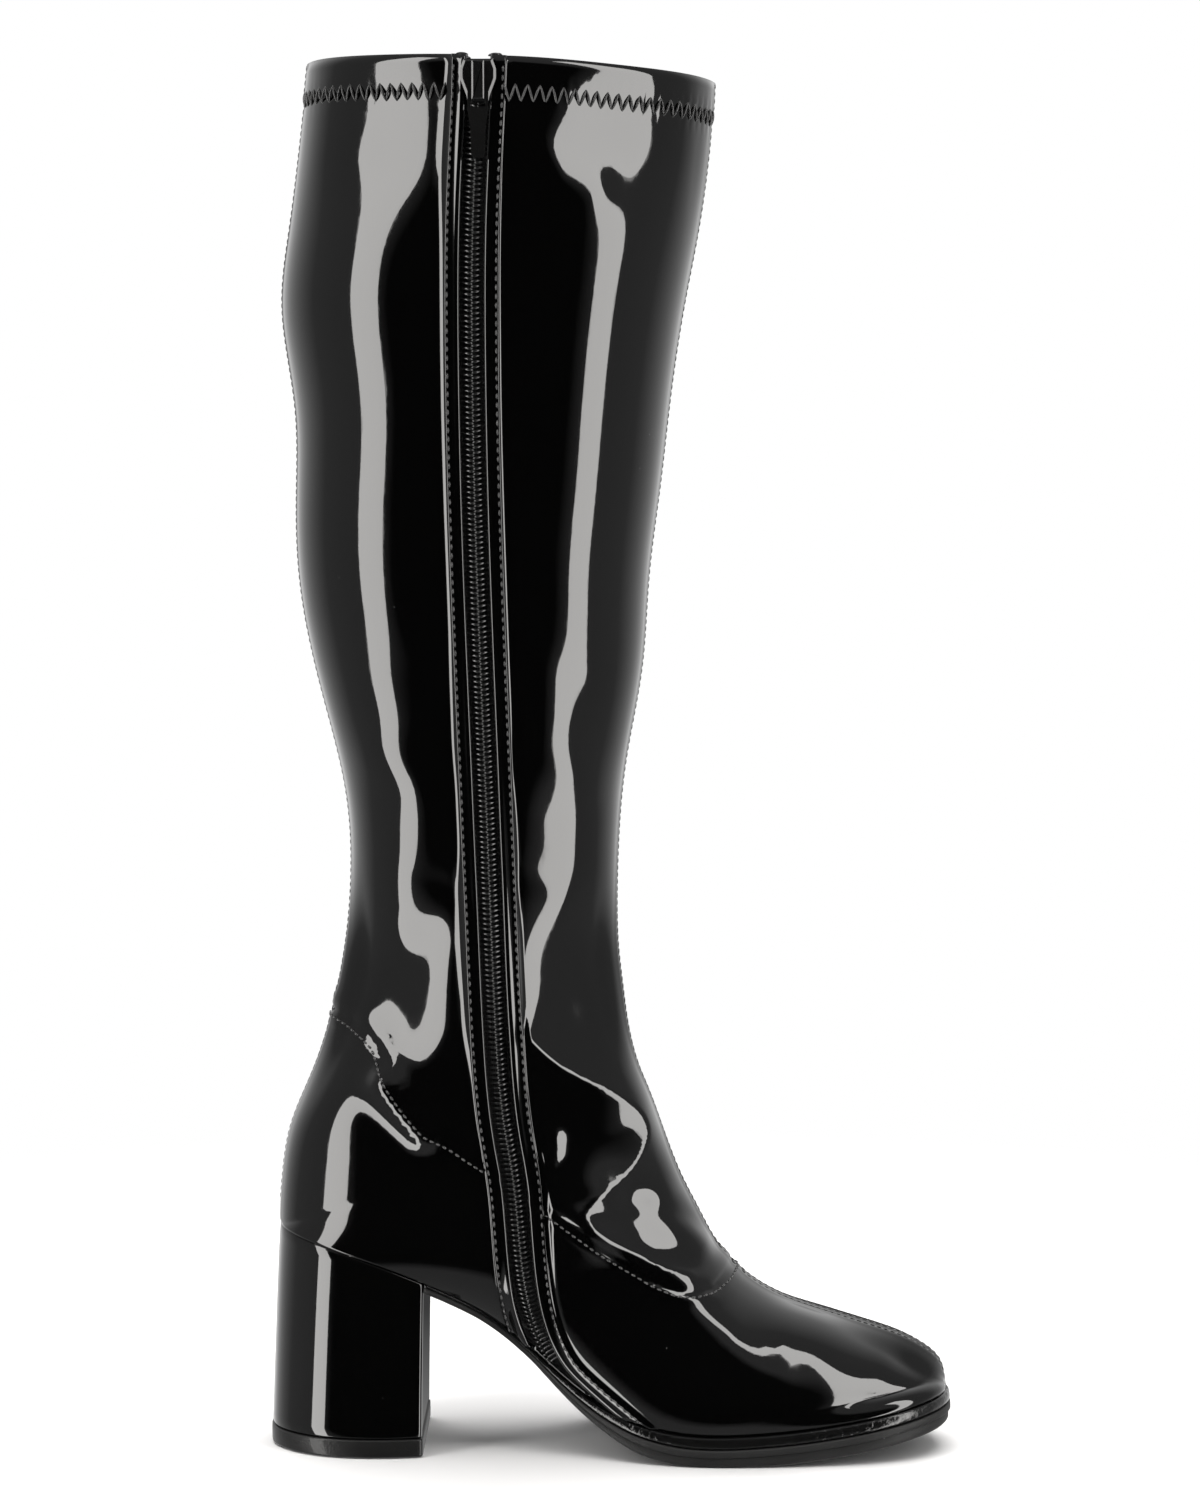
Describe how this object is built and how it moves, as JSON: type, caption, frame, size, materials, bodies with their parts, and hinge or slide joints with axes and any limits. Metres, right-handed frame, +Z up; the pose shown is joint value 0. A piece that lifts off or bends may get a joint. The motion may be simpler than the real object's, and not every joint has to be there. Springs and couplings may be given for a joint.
{
  "type": "go go boot",
  "caption": "Knee-high patent boot for the left foot with a block heel, rounded toe, thin sole and a full-length zip on the inside of the leg.",
  "frame": {"origin": "on the floor, in the middle of the heel's top piece", "axes": "+X to the toe, +Z up, -Y to the inside of the leg, where the zip is"},
  "size_m": [0.2321, 0.1022, 0.4664],
  "materials": {
    "patent": "black stretch patent, mirror gloss",
    "lining": "black insole sock",
    "gloss_strip": "black glossy strip",
    "sole_rubber": "dark satin outsole",
    "tip_rubber": "dark matt top piece",
    "tape": "black woven tape",
    "coil": "black nylon coil",
    "black_metal": "black enamelled metal"
  },
  "bodies": {
    "boot": {"upper": "patent", "insole": "lining", "rand": "gloss_strip", "outsole": "sole_rubber", "heel": "patent", "heel_tip": "tip_rubber", "zip_tape": "tape", "zip_coil": "coil", "zip_slider": "black_metal"},
    "pull": {"zip_pull": "black_metal"}
  },
  "joints": [
    {"name": "pull_swing", "type": "hinge", "parent": "boot", "child": "pull", "pos_m": [0.04748, -0.0514, 0.45035], "axis": [-1, 0, 0], "range_deg": [0, 140]}
  ]
}
